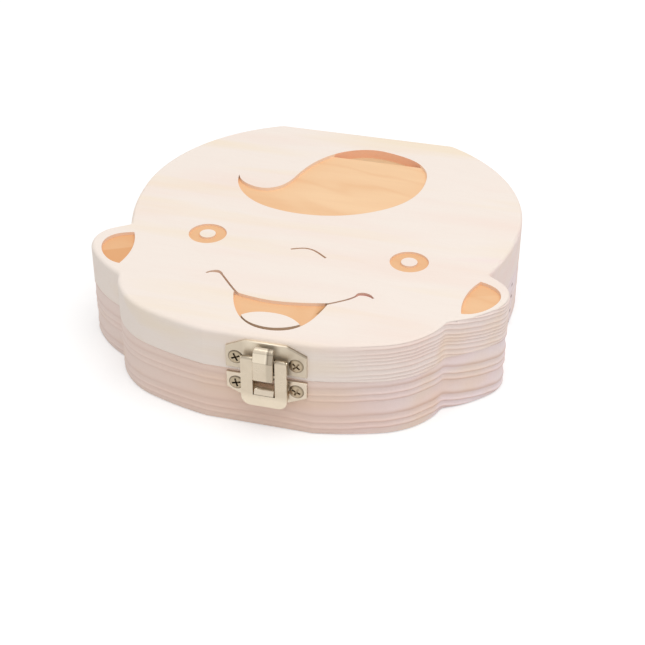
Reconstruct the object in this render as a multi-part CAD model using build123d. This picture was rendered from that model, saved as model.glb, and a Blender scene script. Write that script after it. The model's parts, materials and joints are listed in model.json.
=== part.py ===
from build123d import *
from math import cos, pi, radians, sin
import os

# All lengths are in millimetres. The origin is the middle of the box's underside.
# +Z is up, -Y is the front with the latch, +Y is the flat back with the hinges.

# Wood, over the ears and from the flat back to the flat front
box_width = 125.0
box_depth = 125.0
base_height = 18.0
lid_thickness = 12.0
lid_edge_round = 1.2
foot_edge_round = 0.9
seam_edge_round = 0.25
back_corner_round = 4.0
ear_corner_round = 1.3
cheek_corner_round = 3.0

# Outline of the right half, as shares of half the width and half the depth
back_corner_shares = (0.469, 1.0)
skull_side_shares = (0.955, 0.208)
ear_root_shares = (0.877, -0.230)
ear_brow_shares = (0.941, -0.278)
ear_side_shares = (1.0, -0.395)
ear_low_shares = (0.966, -0.499)
cheek_root_shares = (0.765, -0.669)
jaw_shares = (0.730, -0.762)
chin_end_shares = (0.536, -0.922)
chin_middle_shares = (0.392, -0.968)
front_corner_shares = (0.248, -1.0)

# Carved face
carve_depth = 1.0
hair_hollow_depth = 2.9
hair_hollow_y = 45.8
eye_depth = 0.6
eye_radius = 5.7
eye_island_radius = 2.4
eye_spread = 30.85
eye_row_y = -14.1
face_shift = 0.5
ear_carving_shift = 0.7
line_width = 0.65
line_depth = 0.8

# Points of the carved outlines, as shares of half the width and half the depth
hair_shares = [
    (-0.525, 0.387), (-0.481, 0.256), (-0.345, 0.126), (-0.215, 0.084), (-0.060, 0.078),
    (0.090, 0.112), (0.235, 0.192), (0.348, 0.306), (0.405, 0.435), (0.416, 0.555),
    (0.394, 0.672), (0.328, 0.757), (0.205, 0.815), (0.088, 0.835), (-0.030, 0.800),
    (-0.127, 0.717), (-0.195, 0.602), (-0.235, 0.470), (-0.280, 0.336), (-0.345, 0.286),
    (-0.440, 0.297), (-0.525, 0.387),
]
ear_carving_shares = [
    (0.840, -0.308), (0.888, -0.326), (0.932, -0.362), (0.951, -0.420), (0.936, -0.485),
    (0.899, -0.541), (0.855, -0.577), (0.803, -0.592),
]
ear_carving_inner_shares = (0.795, -0.450)
mouth_top_shares = [
    (-0.205, -0.683), (-0.136, -0.698), (-0.045, -0.709), (0.050, -0.704), (0.140, -0.688),
    (0.232, -0.665),
]
mouth_low_shares = [
    (-0.205, -0.683), (-0.188, -0.740), (-0.153, -0.817), (-0.105, -0.882), (-0.035, -0.928),
    (0.045, -0.937), (0.122, -0.912), (0.174, -0.858), (0.205, -0.785), (0.221, -0.722),
    (0.232, -0.665),
]
tongue_top_shares = [
    (-0.115, -0.855), (-0.065, -0.818), (0.008, -0.804), (0.075, -0.811), (0.120, -0.832),
    (0.155, -0.862),
]
tongue_low_shares = [
    (-0.115, -0.855), (-0.079, -0.891), (-0.026, -0.913), (0.030, -0.918), (0.095, -0.902),
    (0.155, -0.862),
]
left_smile_shares = [
    (-0.376, -0.566), (-0.332, -0.539), (-0.284, -0.580), (-0.232, -0.642), (-0.176, -0.698),
]
right_smile_shares = [
    (0.205, -0.690), (0.250, -0.657), (0.295, -0.622), (0.331, -0.583), (0.357, -0.551),
    (0.385, -0.553), (0.413, -0.576),
]
left_tick_shares = [
    [(-0.376, -0.566), (-0.335, -0.529), (-0.284, -0.580)],
    [(-0.376, -0.566), (-0.327, -0.551), (-0.284, -0.580)],
]
right_tick_shares = [
    [(0.331, -0.583), (0.352, -0.542), (0.387, -0.544), (0.413, -0.576)],
    [(0.331, -0.583), (0.361, -0.564), (0.383, -0.565), (0.413, -0.576)],
]
nose_shares = [
    (-0.061, -0.261), (-0.024, -0.243), (0.013, -0.235), (0.052, -0.246), (0.086, -0.269),
    (0.119, -0.295),
]

# Wells for twenty milk teeth in an oval ring, and two keepsake compartments
well_count = 20
well_radius = 4.5
well_depth = 11.0
well_ring_x = 45.0
well_ring_y = 47.0
well_ring_shift_y = 1.0
compartment_length = 44.0
compartment_width = 20.0
compartment_corner = 6.0
compartment_web = 6.0

# Screws, all countersunk with a cross recess
screw_clearance = 0.04
latch_screw_head_radius = 2.1
latch_screw_shank_radius = 0.95
latch_screw_length = 8.0
hinge_screw_head_radius = 1.7
hinge_screw_shank_radius = 0.8
hinge_screw_length = 7.0
screw_dome = 0.25
screw_rim = 0.15
cross_width = 0.55
cross_depth = 0.8
cross_reach_share = 0.62

# How far each screw is turned, in degrees, from left to right
latch_lid_screw_turns = (25, 50)
latch_catch_screw_turns = (15, 65)
hinge_lid_screw_turns = (70, 20)
hinge_base_screw_turns = (35, 80)

# Draw latch, on the front flat a little right of the middle
latch_x = 2.8
plate_thickness = 0.8
plate_width = 22.9
plate_edge_round = 0.25
plate_corner_width = 5.7
plate_corner_drop = 2.6
lid_plate_gap = 1.3
lid_plate_height = 9.4
catch_plate_gap = 0.5
catch_plate_height = 7.6
latch_screw_pitch = 17.1
lid_screw_rise = 4.9
catch_screw_drop = 3.6

# Lever of the latch, a strap folded to a channel, and its pin
lever_width = 5.8
lever_sheet = 0.7
lever_fold_round = 0.6
lever_pin_reach = 1.9
lever_pin_rise = 1.7
lever_pin_radius = 0.5
lever_pin_stand = 0.25
knuckle_radius = 0.9
knuckle_gap = 0.15
lever_foot_drop = 1.0
lever_straight_height = 4.8
lever_lean_height = 2.6
lever_lean_depth = 0.9
lever_curl_radius = 1.5
lever_curl_degrees = 75
running_clearance = 0.04

# Loop of the latch, a stamped frame, and its pin
loop_pin_rise = 4.5
loop_pin_setback = 0.3
loop_pin_radius = 0.5
loop_eye_radius = 0.8
loop_sheet = 0.8
loop_width = 13.0
loop_window_width = 6.3
loop_bar_height = 3.6
loop_tab_round = 2.7
loop_shoulder_round = 1.1
loop_drop = 11.3
loop_pin_stand = 0.05

# Nose of the catch, a tongue bent out of the plate over the loop's bar
nose_width = 5.5
nose_sheet = 0.8
nose_clearance = 0.3
nose_tip_height = 1.0
nose_overhang = 0.25
slot_side_gap = 0.3

# Butt hinges on the flat back
hinge_spread = 19.0
hinge_width = 16.0
hinge_leaf_height = 7.6
hinge_leaf_thickness = 0.8
hinge_leaf_corner = 1.2
hinge_barrel_radius = 1.3
hinge_barrel_gap = 0.12
hinge_pin_radius = 0.6
hinge_pin_head_radius = 0.95
hinge_pin_head_length = 0.45
hinge_knuckle_gap = 0.15
hinge_middle_share = 0.36
hinge_screw_pitch = 9.6
hinge_screw_rise = 4.6

# Running past a face when cutting, and how near two points of the plan count as one
overrun = 1.0
same_spot = 0.5

# Worked out from the sizes above
half_width = box_width / 2
half_depth = box_depth / 2
seam_z = base_height
top_z = base_height + lid_thickness
front_y = -half_depth
back_y = half_depth
plate_face_y = front_y - plate_thickness
lever_pin_y = plate_face_y - lever_pin_reach
lever_pin_z = seam_z + lever_pin_rise
loop_pin_y = lever_pin_y + loop_pin_setback
loop_pin_z = lever_pin_z + loop_pin_rise
loop_front_y = loop_pin_y - loop_eye_radius
bar_top_z = loop_pin_z - loop_drop
hinge_axis_y = back_y + hinge_barrel_gap + hinge_barrel_radius


def at_shares(shares):
    """Point of the plan at the given shares of half the width and half the depth."""
    return Vector(half_width * shares[0], half_depth * shares[1])


def mirrored(shares):
    """The same point on the other side of the box."""
    return (-shares[0], shares[1])


def box_between(low, high):
    """Box between two opposite corners."""
    low, high = Vector(*low), Vector(*high)
    size = high - low
    middle = (low + high) / 2
    return Pos(middle.X, middle.Y, middle.Z) * Box(size.X, size.Y, size.Z)


def bar_along_x(radius, length, x, y, z):
    """Round bar along X, centred on a point."""
    return Pos(x, y, z) * Rot(0, 90, 0) * Cylinder(radius, length)


def section_along_x(outline, width, x):
    """Sheet section drawn as (y, z) points, extruded along X about x."""
    face = make_face(outline)
    plane = Plane(origin=(x, 0, 0), x_dir=(0, 1, 0), z_dir=(1, 0, 0))
    return extrude(plane * face, width / 2, both=True)


# Plan of the box

def half_outline():
    """Edges of the right half, from the middle of the back round to the middle of the front."""
    back_corner = at_shares(back_corner_shares)
    skull_side = at_shares(skull_side_shares)
    ear_root = at_shares(ear_root_shares)
    ear_brow = at_shares(ear_brow_shares)
    ear_side = at_shares(ear_side_shares)
    ear_low = at_shares(ear_low_shares)
    cheek_root = at_shares(cheek_root_shares)
    jaw = at_shares(jaw_shares)
    chin_end = at_shares(chin_end_shares)
    front_corner = at_shares(front_corner_shares)
    ear_edge = TangentArc(ear_side, ear_low, tangent=(0, -1))
    chin = ThreePointArc(front_corner, at_shares(chin_middle_shares), chin_end)
    jaw_edge = TangentArc(chin_end, jaw, tangent=chin % 1)
    return [
        Line((0, half_depth), back_corner),
        TangentArc(skull_side, back_corner, tangent=(0, 1)),
        TangentArc(skull_side, ear_root, tangent=(0, -1)),
        Line(ear_root, ear_brow),
        TangentArc(ear_side, ear_brow, tangent=(0, 1)),
        ear_edge,
        TangentArc(ear_low, cheek_root, tangent=ear_edge % 1),
        TangentArc(jaw, cheek_root, tangent=jaw_edge % 1),
        jaw_edge,
        chin,
        Line(front_corner, (0, -half_depth)),
    ]


def near(vertices, shares):
    """The vertices at a point of the plan and at its mirror image."""
    spots = [at_shares(shares), at_shares(mirrored(shares))]
    return [v for v in vertices if any((Vector(v.X, v.Y) - s).length < same_spot for s in spots)]


def box_plan():
    """Outline of the wood seen from above, with its corners rounded."""
    right = half_outline()
    left = [edge.mirror(Plane.YZ) for edge in right]
    face = make_face(right + left)
    face = fillet(near(face.vertices(), back_corner_shares), back_corner_round)
    face = fillet(near(face.vertices(), ear_root_shares), ear_corner_round)
    return fillet(near(face.vertices(), cheek_root_shares), cheek_corner_round)


# Screws

def screw_profile(head_radius, shank_radius, length, grow=0):
    """Half section of a countersunk screw whose rim lies at height zero."""
    head = head_radius + grow
    shank = shank_radius + grow
    cone_end = -screw_rim - (head - shank)
    point_start = -length + shank
    rim = [(head, 0), (head, -screw_rim)]
    return [(0, 0)] + rim + [(shank, cone_end), (shank, point_start), (0, -length - grow)]


def screw(head_radius, shank_radius, length):
    """Countersunk wood screw, pointing down from height zero, with a cross recess."""
    outline = screw_profile(head_radius, shank_radius, length)
    dome = ThreePointArc(
        (head_radius, 0), (head_radius * sin(pi / 4), screw_dome * cos(pi / 4)), (0, screw_dome)
    )
    edges = [dome, Line((0, screw_dome), (0, -length)), Polyline(*outline[1:])]
    body = revolve(Plane.XZ * make_face(edges), Axis.Z)
    arm = Box(2 * head_radius * cross_reach_share, cross_width, 2 * cross_depth)
    cross = arm + Rot(0, 0, 90) * arm
    return body - Pos(0, 0, screw_dome) * cross


def screw_hole(head_radius, shank_radius, length):
    """Hole that the screw fits with a small clearance, open past the rim."""
    outline = screw_profile(head_radius, shank_radius, length, screw_clearance)
    head = outline[1][0]
    points = [(0, overrun), (head, overrun)] + outline[1:] + [(0, overrun)]
    return revolve(Plane.XZ * make_face(Polyline(*points)), Axis.Z)


def latch_screw_spots(z):
    """Places of the two screws of a latch plate, facing the front."""
    xs = [latch_x - latch_screw_pitch / 2, latch_x + latch_screw_pitch / 2]
    seats = [Plane(origin=(x, plate_face_y, z), x_dir=(1, 0, 0), z_dir=(0, -1, 0)) for x in xs]
    return [Location(seat) for seat in seats]


def hinge_screw_spots(side, z):
    """Places of the two screws of a hinge leaf, facing the back."""
    face_y = back_y + hinge_leaf_thickness
    middle = side * hinge_spread
    xs = [middle - hinge_screw_pitch / 2, middle + hinge_screw_pitch / 2]
    seats = [Plane(origin=(x, face_y, z), x_dir=(-1, 0, 0), z_dir=(0, 1, 0)) for x in xs]
    return [Location(seat) for seat in seats]


def latch_lid_screw_spots():
    """Places of the screws in the latch's plate on the lid."""
    return latch_screw_spots(seam_z + lid_screw_rise)


def latch_catch_screw_spots():
    """Places of the screws in the catch plate on the base."""
    return latch_screw_spots(seam_z - catch_screw_drop)


def hinge_leaf_screw_spots(side, upward):
    """Places of the screws of one leaf, upward being 1 on the lid and -1 on the base."""
    return hinge_screw_spots(side, seam_z + upward * hinge_screw_rise)


def turned_screws(one, spots, turns):
    """Screws as separate solids, each driven home at its own angle."""
    return Compound(children=[spot * Rot(0, 0, turn) * one for spot, turn in zip(spots, turns)])


def latch_screws(spots, turns):
    """Two screws of a latch plate."""
    one = screw(latch_screw_head_radius, latch_screw_shank_radius, latch_screw_length)
    return turned_screws(one, spots, turns)


def hinge_screws(spots, turns):
    """Two screws of a hinge leaf."""
    one = screw(hinge_screw_head_radius, hinge_screw_shank_radius, hinge_screw_length)
    return turned_screws(one, spots, turns)


def cut_latch_holes(shape, spots):
    """The shape with holes for latch screws at the given places."""
    hole = screw_hole(latch_screw_head_radius, latch_screw_shank_radius, latch_screw_length)
    for spot in spots:
        shape -= spot * hole
    return shape


def cut_hinge_holes(shape, spots):
    """The shape with holes for hinge screws at the given places."""
    hole = screw_hole(hinge_screw_head_radius, hinge_screw_shank_radius, hinge_screw_length)
    for spot in spots:
        shape -= spot * hole
    return shape


# Wooden base

def well_places():
    """Middles of the tooth wells, ten round each arch of the ring."""
    step = 2 * pi / well_count
    angles = [(i + 1 / 2) * step for i in range(well_count)]
    return [(well_ring_x * cos(a), well_ring_shift_y + well_ring_y * sin(a)) for a in angles]


def compartment_places():
    """Middles of the two keepsake compartments."""
    offset = (compartment_width + compartment_web) / 2
    return [(0, well_ring_shift_y + offset), (0, well_ring_shift_y - offset)]


def base_tray():
    """Lower block of wood with the tooth wells and the compartments."""
    block = extrude(box_plan(), base_height)
    block = fillet(block.edges().group_by(Axis.Z)[0], foot_edge_round)
    block = fillet(block.edges().group_by(Axis.Z)[-1], seam_edge_round)
    floor_z = base_height - well_depth
    well = Cylinder(well_radius, well_depth + overrun, align=(Align.CENTER, Align.CENTER, Align.MIN))
    for x, y in well_places():
        block -= Pos(x, y, floor_z) * well
    plan = RectangleRounded(compartment_length, compartment_width, compartment_corner)
    compartment = extrude(plan, well_depth + overrun)
    for x, y in compartment_places():
        block -= Pos(x, y, floor_z) * compartment
    block = cut_latch_holes(block, latch_catch_screw_spots())
    for side in (-1, 1):
        block = cut_hinge_holes(block, hinge_leaf_screw_spots(side, -1))
    return block


# Wooden lid and its carved face

def spline_through(shares):
    """Smooth curve through points of the plan."""
    return Spline(*[at_shares(s) for s in shares])


def carved(face, depth):
    """Solid that carves a face of the plan into the lid's top."""
    return Pos(0, 0, top_z - depth) * extrude(face, depth + overrun)


def hair_carving():
    """Curl of hair that ends in a point."""
    return make_face(spline_through(hair_shares))


def hair_hollow():
    """Deeper hollow at the back of the curl, with a straight front edge along the grain."""
    middle_y = (hair_hollow_y + half_depth) / 2
    behind = Pos(0, middle_y) * Rectangle(box_width, half_depth - hair_hollow_y)
    return hair_carving() & behind


def eye_carving(side):
    """Ring of an eye round its island."""
    ring = Circle(eye_radius) - Circle(eye_island_radius)
    return Pos(face_shift + side * eye_spread, eye_row_y) * ring


def ear_carving(side):
    """Hollow of an ear, set over to the right a little as the whole face is."""
    outer = [(side * x, y) for x, y in ear_carving_shares]
    inner = (side * ear_carving_inner_shares[0], ear_carving_inner_shares[1])
    inner_edge = ThreePointArc(at_shares(outer[-1]), at_shares(inner), at_shares(outer[0]))
    return Pos(ear_carving_shift, 0) * make_face([spline_through(outer), inner_edge])


def mouth_carving():
    """Open mouth round the tongue, which is left standing."""
    mouth = make_face([spline_through(mouth_top_shares), spline_through(mouth_low_shares)])
    tongue = make_face([spline_through(tongue_top_shares), spline_through(tongue_low_shares)])
    return mouth - tongue


def fine_lines():
    """Thin carved lines of the nose and of the ends of the smile, which swell where they turn down."""
    lines = (nose_shares, left_smile_shares, right_smile_shares)
    thin = [trace(spline_through(shares), line_width) for shares in lines]
    swells = (left_tick_shares, right_tick_shares)
    return thin + [make_face([spline_through(edge) for edge in edges]) for edges in swells]


def lid_panel():
    """Upper panel of wood with the face carved into its top."""
    panel = Pos(0, 0, seam_z) * extrude(box_plan(), lid_thickness)
    panel = fillet(panel.edges().group_by(Axis.Z)[-1], lid_edge_round)
    panel = fillet(panel.edges().group_by(Axis.Z)[0], seam_edge_round)
    for face in fine_lines():
        panel -= carved(face, line_depth)
    for face in (mouth_carving(), hair_carving(), ear_carving(-1), ear_carving(1)):
        panel -= carved(face, carve_depth)
    panel -= carved(hair_hollow(), hair_hollow_depth)
    for side in (-1, 1):
        panel -= carved(eye_carving(side), eye_depth)
    panel = cut_latch_holes(panel, latch_lid_screw_spots())
    for side in (-1, 1):
        panel = cut_hinge_holes(panel, hinge_leaf_screw_spots(side, 1))
    return panel


# Draw latch

def latch_plate(height, gap, upward):
    """Plate with its two outer corners cut off, standing on its edge at a gap from the seam."""
    half = plate_width / 2
    corner_height = height - plate_corner_drop
    corner_x = half - plate_corner_width
    points = [
        (-half, 0), (half, 0), (half, corner_height), (corner_x, height),
        (-corner_x, height), (-half, corner_height), (-half, 0),
    ]
    face = make_face(Polyline(*[(x, upward * z) for x, z in points]))
    edge_z = seam_z + upward * gap
    seat = Plane(origin=(latch_x, front_y, edge_z), x_dir=(1, 0, 0), z_dir=(0, -1, 0))
    plate = extrude(seat * face, plate_thickness)
    return fillet(plate.edges().group_by(Axis.Y)[0], plate_edge_round)


def knuckle_length():
    """Length of the knuckle that stands between the lever's cheeks."""
    return lever_width - 2 * lever_sheet - 2 * knuckle_gap


def pin_bore(pin_radius, width, y, z):
    """Bore for one of the latch's pins, running past a piece of the given width."""
    return bar_along_x(pin_radius + running_clearance, width + overrun, latch_x, y, z)


def latch_lid_plate():
    """Plate on the lid with the knuckle that carries the lever's pin."""
    plate = latch_plate(lid_plate_height, lid_plate_gap, 1)
    length = knuckle_length()
    half_neck = plate_thickness / 2
    neck = box_between(
        (latch_x - length / 2, lever_pin_y, lever_pin_z - half_neck),
        (latch_x + length / 2, plate_face_y + half_neck, lever_pin_z + half_neck),
    )
    knuckle = bar_along_x(knuckle_radius, length, latch_x, lever_pin_y, lever_pin_z)
    bore = pin_bore(lever_pin_radius, length, lever_pin_y, lever_pin_z)
    return cut_latch_holes(plate + neck + knuckle - bore, latch_lid_screw_spots())


def lever_front_line():
    """Points of the lever's front as (y, z): its foot, its bend and the end of its lean."""
    web_y = lever_pin_y - knuckle_radius - knuckle_gap - lever_sheet
    foot = Vector(web_y, lever_pin_z - lever_foot_drop)
    bend = Vector(web_y, lever_pin_z + lever_straight_height)
    lean_end = bend + Vector(lever_lean_depth, lever_lean_height)
    return foot, bend, lean_end


def lever_web():
    """Sheet at the front of the lever: straight up, leaning back, then curled to the plate."""
    foot, bend, lean_end = lever_front_line()
    lean = (lean_end - bend).normalized()
    across = Vector(lever_sheet, 0)
    inner_lean_end = lean_end + Vector(lean.Y, -lean.X) * lever_sheet
    curl = JernArc(lean_end, lean, lever_curl_radius, -lever_curl_degrees)
    inner_curl = JernArc(
        inner_lean_end, lean, lever_curl_radius - lever_sheet, -lever_curl_degrees
    )
    outline = [
        Polyline(foot, bend, lean_end),
        curl,
        Line(curl @ 1, inner_curl @ 1),
        inner_curl,
        Polyline(inner_lean_end, bend + across, foot + across, foot),
    ]
    return section_along_x(outline, lever_width, latch_x)


def lever_cheeks():
    """Two cheeks of the lever, folded back from its sheet to carry both pins."""
    foot, bend, lean_end = lever_front_line()
    back = loop_pin_y + loop_pin_radius + lever_sheet
    outline = Polyline(foot, bend, lean_end, (back, bend.Y), (back, foot.Y), foot)
    channel = section_along_x(outline, lever_width, latch_x)
    half_inside = lever_width / 2 - lever_sheet
    return channel - box_between(
        (latch_x - half_inside, foot.X - overrun, foot.Y - overrun),
        (latch_x + half_inside, back + overrun, top_z),
    )


def lever_fold_edges(lever):
    """Edges of the lever along which its sheet is folded back, on both sides of its front."""
    foot, bend, lean_end = lever_front_line()
    half = lever_width / 2
    found = []
    for edge in lever.edges():
        middle = edge.center()
        outside = abs(abs(middle.X - latch_x) - half) < lever_sheet / 2
        upright = abs(edge.tangent_at(1 / 2).X) < 1 / 2
        straight = foot.Y < middle.Z < bend.Y and abs(middle.Y - foot.X) < lever_sheet / 2
        lean_y = (bend.X + lean_end.X) / 2
        leaning = bend.Y < middle.Z < lean_end.Y and abs(middle.Y - lean_y) < lever_sheet / 2
        if outside and upright and (straight or leaning):
            found.append(edge)
    return found


def latch_lever():
    """Strap folded to a channel, with bores for its own pin and for the loop's."""
    lever = lever_web() + lever_cheeks()
    lever = fillet(lever_fold_edges(lever), lever_fold_round)
    lever -= pin_bore(lever_pin_radius, lever_width, lever_pin_y, lever_pin_z)
    return lever - pin_bore(loop_pin_radius, lever_width, loop_pin_y, loop_pin_z)


def latch_lever_pin():
    """Pin through the lever's cheeks and the knuckle of the lid plate."""
    length = lever_width + 2 * lever_pin_stand
    return bar_along_x(lever_pin_radius, length, latch_x, lever_pin_y, lever_pin_z)


def latch_loop_pin():
    """Pin through the lever's cheeks and the loop's two eyes."""
    length = loop_width + 2 * loop_pin_stand
    return bar_along_x(loop_pin_radius, length, latch_x, loop_pin_y, loop_pin_z)


def latch_loop():
    """Stamped frame with two rolled eyes above and a rounded tab below."""
    half = loop_width / 2
    half_window = loop_window_width / 2
    low_z = bar_top_z - loop_bar_height
    eye_top_z = loop_pin_z + loop_eye_radius
    outer = make_face(Polyline(
        (-half, eye_top_z), (half, eye_top_z), (half, low_z), (-half, low_z), (-half, eye_top_z)
    ))
    outer = fillet(outer.vertices().group_by(Axis.Y)[0], loop_tab_round)
    outer = fillet(outer.vertices().group_by(Axis.Y)[-1], loop_shoulder_round)
    window = make_face(Polyline(
        (-half_window, bar_top_z), (half_window, bar_top_z), (half_window, loop_pin_z + overrun),
        (-half_window, loop_pin_z + overrun), (-half_window, bar_top_z),
    ))
    below_eyes = Pos(0, (loop_pin_z + low_z) / 2) * Rectangle(loop_width, loop_pin_z - low_z)
    front = Plane(origin=(latch_x, loop_front_y, 0), x_dir=(1, 0, 0), z_dir=(0, -1, 0))
    frame = extrude(front * ((outer & below_eyes) - window), -loop_sheet)
    reach = extrude(front * outer, 2 * loop_eye_radius + overrun, both=True)
    arm_width = half - half_window
    for side in (-1, 1):
        middle = latch_x + side * (half + half_window) / 2
        frame += bar_along_x(loop_eye_radius, arm_width, middle, loop_pin_y, loop_pin_z) & reach
    return frame - pin_bore(loop_pin_radius, loop_width, loop_pin_y, loop_pin_z)


def latch_catch_plate():
    """Plate on the base whose tongue is bent out over the loop's bar."""
    plate = latch_plate(catch_plate_height, catch_plate_gap, -1)
    tip_z = bar_top_z + nose_clearance
    ledge_top = tip_z + nose_tip_height + nose_sheet
    front = loop_front_y - nose_overhang
    slot = box_between(
        (latch_x - nose_width / 2 - slot_side_gap, plate_face_y - overrun, ledge_top),
        (latch_x + nose_width / 2 + slot_side_gap, front_y + overrun, seam_z + overrun),
    )
    bend = nose_tip_height + nose_sheet
    outer = [
        Line((front_y, ledge_top), (front + bend, ledge_top)),
        ThreePointArc(
            (front + bend, ledge_top),
            (front + bend * (1 - cos(pi / 4)), ledge_top - bend * (1 - sin(pi / 4))),
            (front, ledge_top - bend),
        ),
        Line((front, ledge_top - bend), (front + nose_sheet, ledge_top - bend)),
        ThreePointArc(
            (front + nose_sheet, ledge_top - bend),
            (front + bend - nose_tip_height * cos(pi / 4), ledge_top - bend + nose_tip_height * sin(pi / 4)),
            (front + bend, ledge_top - nose_sheet),
        ),
        Line((front + bend, ledge_top - nose_sheet), (front_y, ledge_top - nose_sheet)),
        Line((front_y, ledge_top - nose_sheet), (front_y, ledge_top)),
    ]
    nose = section_along_x(outer, nose_width, latch_x)
    return cut_latch_holes(plate - slot + nose, latch_catch_screw_spots())


# Butt hinges

def hinge_knuckle_spans():
    """Spans along X of the two outer knuckles and of the middle one, about the hinge's middle."""
    half = hinge_width / 2
    half_middle = hinge_width * hinge_middle_share / 2
    gap = hinge_knuckle_gap / 2
    outer = [(-half, -half_middle - gap), (half_middle + gap, half)]
    return outer, [(-half_middle + gap, half_middle - gap)]


def hinge_leaf(side, upward, own_spans, other_spans):
    """Leaf that lies on the back and carries its own knuckles on the hinge's axis."""
    middle = side * hinge_spread
    leaf_plan = Pos(0, hinge_leaf_height / 2) * Rectangle(hinge_width, hinge_leaf_height)
    leaf_plan = fillet(leaf_plan.vertices().group_by(Axis.Y)[-1], hinge_leaf_corner)
    if upward < 0:
        leaf_plan = leaf_plan.mirror(Plane.XZ)
    seat = Plane(origin=(middle, back_y, seam_z), x_dir=(1, 0, 0), z_dir=(0, -1, 0))
    leaf = extrude(seat * leaf_plan, -hinge_leaf_thickness)
    for low, high in own_spans:
        x = middle + (low + high) / 2
        leaf += bar_along_x(hinge_barrel_radius, high - low, x, hinge_axis_y, seam_z)
    reach = hinge_barrel_radius + hinge_knuckle_gap
    for low, high in other_spans:
        length = high - low + 2 * hinge_knuckle_gap
        leaf -= bar_along_x(reach, length, middle + (low + high) / 2, hinge_axis_y, seam_z)
        leaf -= box_between(
            (middle + low - hinge_knuckle_gap, back_y - overrun, seam_z - reach),
            (middle + high + hinge_knuckle_gap, hinge_axis_y, seam_z + reach),
        )
    leaf -= bar_along_x(
        hinge_pin_radius + running_clearance, hinge_width + overrun, middle, hinge_axis_y, seam_z
    )
    return cut_hinge_holes(leaf, hinge_leaf_screw_spots(side, upward))


def hinge_base_leaf(side):
    """Leaf on the base, with the two outer knuckles."""
    outer, inner = hinge_knuckle_spans()
    return hinge_leaf(side, -1, outer, inner)


def hinge_lid_leaf(side):
    """Leaf on the lid, with the middle knuckle."""
    outer, inner = hinge_knuckle_spans()
    return hinge_leaf(side, 1, inner, outer)


def hinge_pin(side):
    """Headed pin through the knuckles of a hinge."""
    middle = side * hinge_spread
    pin = bar_along_x(hinge_pin_radius, hinge_width, middle, hinge_axis_y, seam_z)
    for end in (-1, 1):
        x = middle + end * (hinge_width + hinge_pin_head_length) / 2
        pin += bar_along_x(hinge_pin_head_radius, hinge_pin_head_length, x, hinge_axis_y, seam_z)
    return pin


def all_parts():
    """Every piece by its name."""
    parts = {
        "base_tray": base_tray(),
        "lid_panel": lid_panel(),
        "latch_lid_plate": latch_lid_plate(),
        "latch_lever": latch_lever(),
        "latch_lever_pin": latch_lever_pin(),
        "latch_loop": latch_loop(),
        "latch_loop_pin": latch_loop_pin(),
        "latch_catch_plate": latch_catch_plate(),
        "latch_lid_screws": latch_screws(latch_lid_screw_spots(), latch_lid_screw_turns),
        "latch_catch_screws": latch_screws(latch_catch_screw_spots(), latch_catch_screw_turns),
    }
    for name, side in (("left", -1), ("right", 1)):
        parts[f"{name}_hinge_base_leaf"] = hinge_base_leaf(side)
        parts[f"{name}_hinge_lid_leaf"] = hinge_lid_leaf(side)
        parts[f"{name}_hinge_pin"] = hinge_pin(side)
        base_spots = hinge_leaf_screw_spots(side, -1)
        lid_spots = hinge_leaf_screw_spots(side, 1)
        parts[f"{name}_hinge_base_screws"] = hinge_screws(base_spots, hinge_base_screw_turns)
        parts[f"{name}_hinge_lid_screws"] = hinge_screws(lid_spots, hinge_lid_screw_turns)
    return parts


os.makedirs("parts", exist_ok=True)
for name, shape in all_parts().items():
    export_step(shape, f"parts/{name}.step")
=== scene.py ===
import bmesh
import bpy
import json
import numpy as np
from math import cos, pi, radians, sin
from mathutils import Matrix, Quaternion, Vector


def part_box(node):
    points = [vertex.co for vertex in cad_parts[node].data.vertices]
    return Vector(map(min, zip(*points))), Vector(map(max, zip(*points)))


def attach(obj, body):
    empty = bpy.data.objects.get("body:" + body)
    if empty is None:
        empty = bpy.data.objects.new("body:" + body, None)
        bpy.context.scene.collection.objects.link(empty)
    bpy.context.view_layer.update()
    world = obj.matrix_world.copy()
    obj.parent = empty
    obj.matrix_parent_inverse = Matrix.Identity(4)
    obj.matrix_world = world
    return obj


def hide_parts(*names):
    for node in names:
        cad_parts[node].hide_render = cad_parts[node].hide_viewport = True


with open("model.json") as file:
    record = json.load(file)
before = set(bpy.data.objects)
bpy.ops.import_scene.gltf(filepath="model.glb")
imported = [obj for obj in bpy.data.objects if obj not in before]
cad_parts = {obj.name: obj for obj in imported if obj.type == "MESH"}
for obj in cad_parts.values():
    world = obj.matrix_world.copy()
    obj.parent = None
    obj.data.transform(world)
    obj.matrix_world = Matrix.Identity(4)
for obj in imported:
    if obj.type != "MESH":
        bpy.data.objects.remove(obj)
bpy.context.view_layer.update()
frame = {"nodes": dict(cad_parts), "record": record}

# Lengths are in metres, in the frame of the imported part: +Z up, -Y the front with the latch.
# A pair named _range gives where something starts and where it is full.

# Camera, fitted to the outline in the photograph
camera_azimuth = 15.133
camera_elevation = 33.835
camera_roll = 0.162
camera_distance = 0.4154
camera_target = (0.00953, -0.02965, 0.015)
camera_lens_mm = 79.8
camera_sensor_mm = 36.0
camera_clip_factor = 100

# Light and floor
sky_strength = 0.62
key_power = 4.9
key_size = 0.9
key_place = (0.22, -0.20, 1.0)
floor_size = 6.0
floor_drop = 0.00003
floor_colour = (0.76, 0.76, 0.76)
floor_roughness = 0.9
floor_glow = 0.34
floor_far_glow = 0.54
floor_far_range = (0.20, 1.00)

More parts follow.
